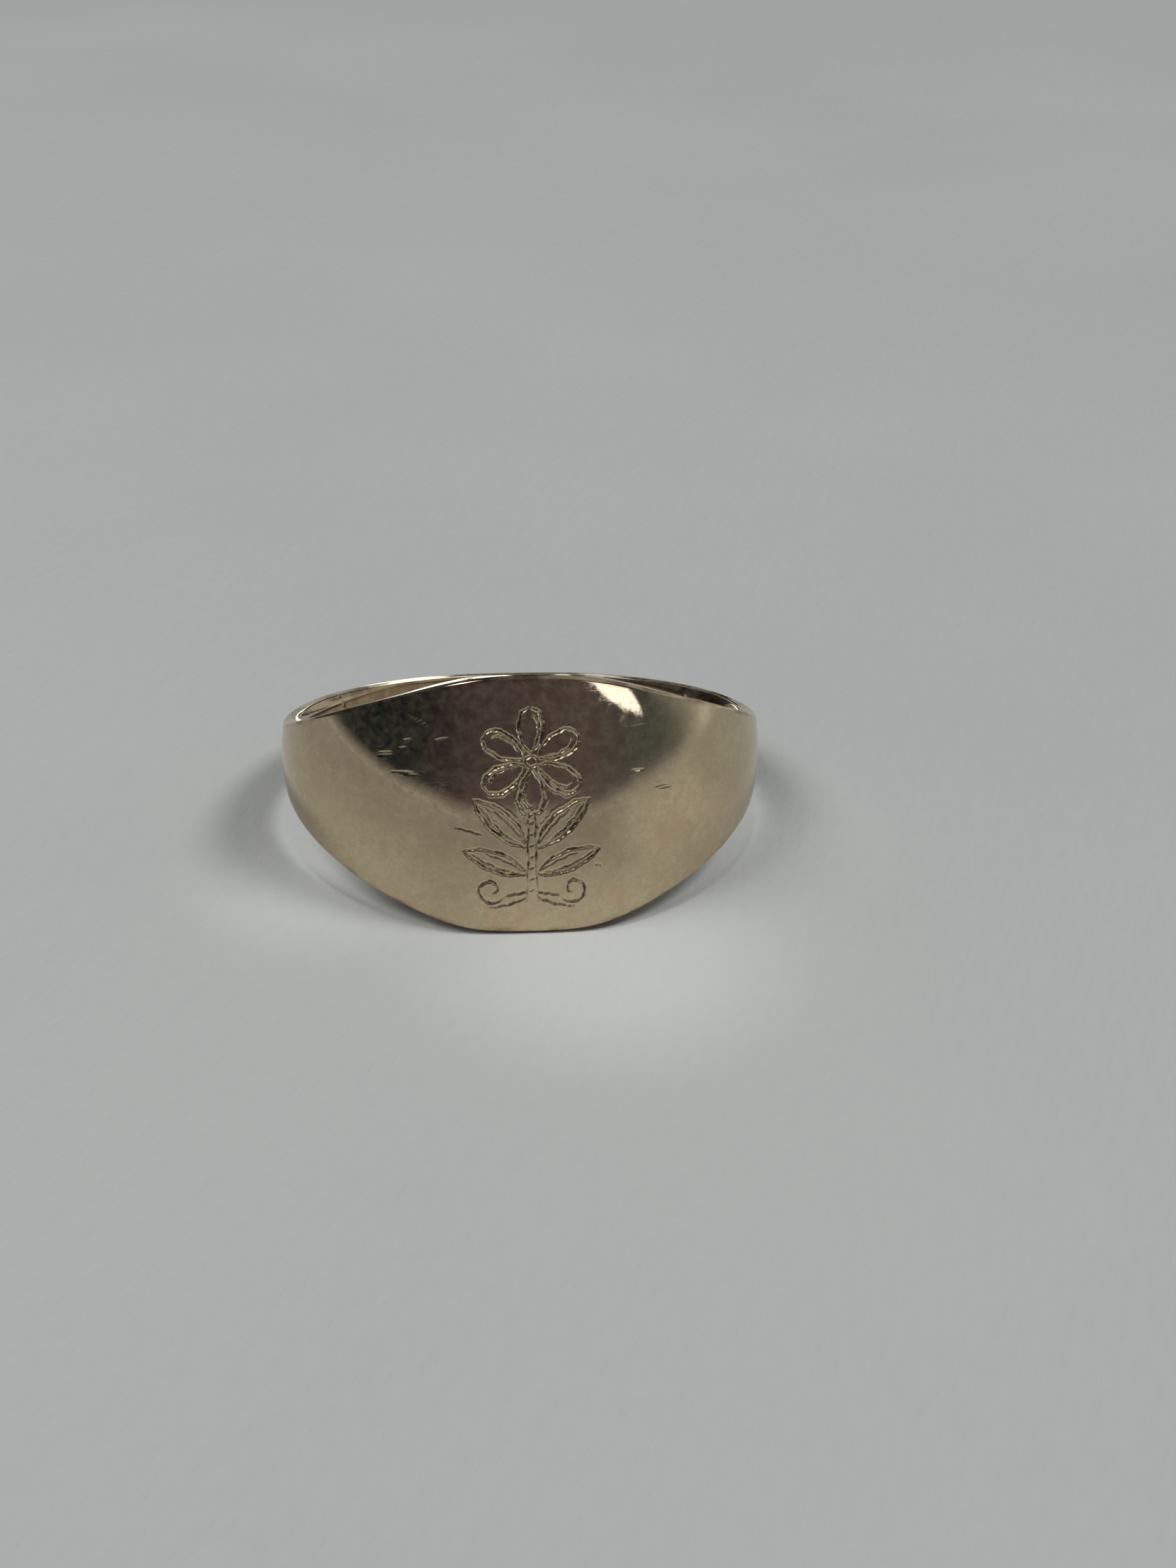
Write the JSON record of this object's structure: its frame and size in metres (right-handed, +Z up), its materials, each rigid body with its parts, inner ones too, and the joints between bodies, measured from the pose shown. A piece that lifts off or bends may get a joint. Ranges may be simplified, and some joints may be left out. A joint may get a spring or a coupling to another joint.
{
  "type": "signet ring",
  "caption": "Light polished gold signet ring with a broad engraved face, a soft flat table, tapering shoulders and a narrow shank, on its side.",
  "frame": {"origin": "centre of the finger bore, midway between the ring's two rims", "axes": "+Z up from the table the ring lies on, signet face towards -Y, +X to the right seen from the face; the finger axis leans 12.6 degrees from +Z towards +Y, as the ring rests"},
  "size_m": [0.02, 0.0202, 0.01],
  "materials": {
    "gold": "polished",
    "solder": "satin"
  },
  "bodies": {
    "root": {"signet_head": "gold", "back_shank": "gold", "solder_seam_right": "solder", "solder_seam_left": "solder"}
  },
  "joints": []
}
